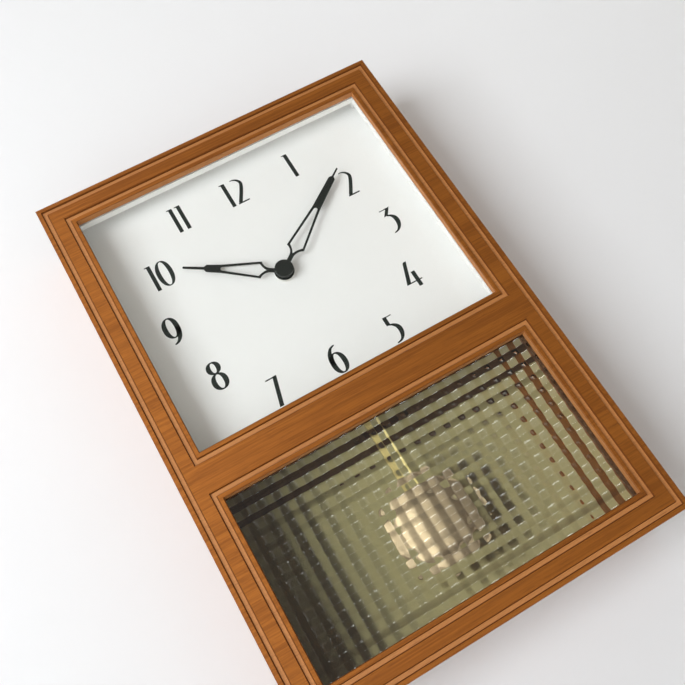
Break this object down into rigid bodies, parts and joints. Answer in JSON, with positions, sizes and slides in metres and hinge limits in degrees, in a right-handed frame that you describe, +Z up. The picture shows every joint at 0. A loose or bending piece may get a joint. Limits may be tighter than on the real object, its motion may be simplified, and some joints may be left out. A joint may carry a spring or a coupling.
{
  "type": "wall clock",
  "caption": "Portrait wooden wall clock with a square dial window, lance hands, a pendulum behind prism glass, and a quartz movement with its wheel train.",
  "frame": {"origin": "centre of the keyhole's round hole in the hanger plate, on the plane of the clock's back", "axes": "+Z up along the case's height, +Y from the dial towards the wall, +X to the right as the dial is read"},
  "size_m": [0.25, 0.065, 0.37],
  "materials": {
    "veneer": "satin",
    "case_wood": "satin",
    "inner_wood": "matte",
    "back_board": "matte",
    "white_lacquer": "matte",
    "dial_white": "matte",
    "hand_black": "satin",
    "clear_glass": "polished",
    "checker_glass": "polished",
    "zinc_steel": "satin",
    "hanger_steel": "satin",
    "brass": "satin",
    "rod_brass": "polished",
    "bob_gold": "satin",
    "white_nylon": "satin",
    "rubber": "matte",
    "shell_black": "matte",
    "train_plastic": "matte",
    "wheel_plastic": "satin",
    "knob_plastic": "satin",
    "lamination": "satin",
    "copper": "satin",
    "board_green": "satin",
    "chip_black": "matte",
    "can_steel": "satin",
    "battery_jacket": "satin",
    "spring_steel": "satin",
    "pin_steel": "polished",
    "magnet_steel": "satin"
  },
  "bodies": {
    "case": {"front_panel": "veneer", "case_left": "case_wood", "case_right": "case_wood", "case_top": "case_wood", "case_bottom": "case_wood", "divider_shelf": "inner_wood", "back_panel": "back_board", "hanging_rail": "inner_wood", "back_panel_screws": "zinc_steel", "hanger_plate": "hanger_steel", "hanger_screws": "zinc_steel", "dial_glass": "clear_glass", "checker_glass": "checker_glass", "dial_surround": "white_lacquer", "dial_plate": "dial_white", "dial_screws": "zinc_steel", "centre_bush": "brass", "gasket": "rubber", "dial_washer": "white_nylon", "hex_nut": "white_nylon", "movement_front_shell": "shell_black", "movement_back_shell": "shell_black", "movement_screws": "zinc_steel", "train_plate": "train_plastic", "motor_core": "lamination", "motor_coil": "copper", "circuit_board": "board_green", "chip": "chip_black", "quartz_crystal": "can_steel", "battery": "battery_jacket", "battery_contact_plus": "spring_steel", "battery_contact_minus": "spring_steel", "pivot_pin": "pin_steel", "drive_coil": "copper", "glazing_bead_left": "inner_wood", "glazing_bead_right": "inner_wood", "glazing_bead_top": "inner_wood", "glazing_bead_bottom": "inner_wood"},
    "minute_hand_group": {"minute_hand": "hand_black", "hand_cap": "hand_black", "cannon_pinion": "wheel_plastic"},
    "hour_hand_group": {"hour_hand": "hand_black", "hour_wheel": "wheel_plastic"},
    "minute_wheel_group": {"minute_wheel": "wheel_plastic", "setting_knob": "knob_plastic"},
    "fourth_wheel_group": {"fourth_wheel": "wheel_plastic"},
    "intermediate_wheel_group": {"intermediate_wheel": "wheel_plastic"},
    "rotor_group": {"rotor": "wheel_plastic"},
    "third_wheel_group": {"third_wheel": "wheel_plastic"},
    "centre_wheel_group": {"centre_wheel": "wheel_plastic"},
    "pendulum": {"swing_lever": "train_plastic", "lever_magnet": "magnet_steel", "pendulum_rod": "rod_brass", "bob_shell": "bob_gold", "bob_back": "bob_gold"}
  },
  "joints": [
    {"name": "minute_hand_turn", "type": "hinge", "parent": "case", "child": "minute_hand_group", "pos_m": [0, -0.03, -0.081], "axis": [0, 1, 0], "continuous": true},
    {"name": "hour_hand_turn", "type": "hinge", "parent": "case", "child": "hour_hand_group", "pos_m": [0, -0.03, -0.081], "axis": [0, 1, 0], "continuous": true},
    {"name": "setting_knob_turn", "type": "hinge", "parent": "case", "child": "minute_wheel_group", "pos_m": [0.00771, -0.03, -0.09019], "axis": [0, 1, 0], "continuous": true},
    {"name": "fourth_wheel_turn", "type": "hinge", "parent": "case", "child": "fourth_wheel_group", "pos_m": [0, -0.03, -0.081], "axis": [0, 1, 0], "continuous": true},
    {"name": "intermediate_wheel_turn", "type": "hinge", "parent": "case", "child": "intermediate_wheel_group", "pos_m": [0.01082, -0.03, -0.0781], "axis": [0, 1, 0], "continuous": true},
    {"name": "rotor_turn", "type": "hinge", "parent": "case", "child": "rotor_group", "pos_m": [0.01228, -0.03, -0.06983], "axis": [0, 1, 0], "continuous": true},
    {"name": "third_wheel_turn", "type": "hinge", "parent": "case", "child": "third_wheel_group", "pos_m": [-0.00764, -0.03, -0.07336], "axis": [0, 1, 0], "continuous": true},
    {"name": "centre_wheel_turn", "type": "hinge", "parent": "case", "child": "centre_wheel_group", "pos_m": [0, -0.03, -0.081], "axis": [0, 1, 0], "continuous": true},
    {"name": "pendulum_swing", "type": "hinge", "parent": "case", "child": "pendulum", "pos_m": [0, -0.03, -0.123], "axis": [0, 1, 0], "range_deg": [-8, 8]}
  ],
  "couplings": [
    {"joint": "hour_hand_turn", "follows": "minute_hand_turn", "ratio": 0.083333},
    {"joint": "setting_knob_turn", "follows": "minute_hand_turn", "ratio": -0.33333},
    {"joint": "intermediate_wheel_turn", "follows": "fourth_wheel_turn", "ratio": -6},
    {"joint": "rotor_turn", "follows": "fourth_wheel_turn", "ratio": 30},
    {"joint": "third_wheel_turn", "follows": "fourth_wheel_turn", "ratio": -0.13333},
    {"joint": "centre_wheel_turn", "follows": "fourth_wheel_turn", "ratio": 0.016667}
  ]
}
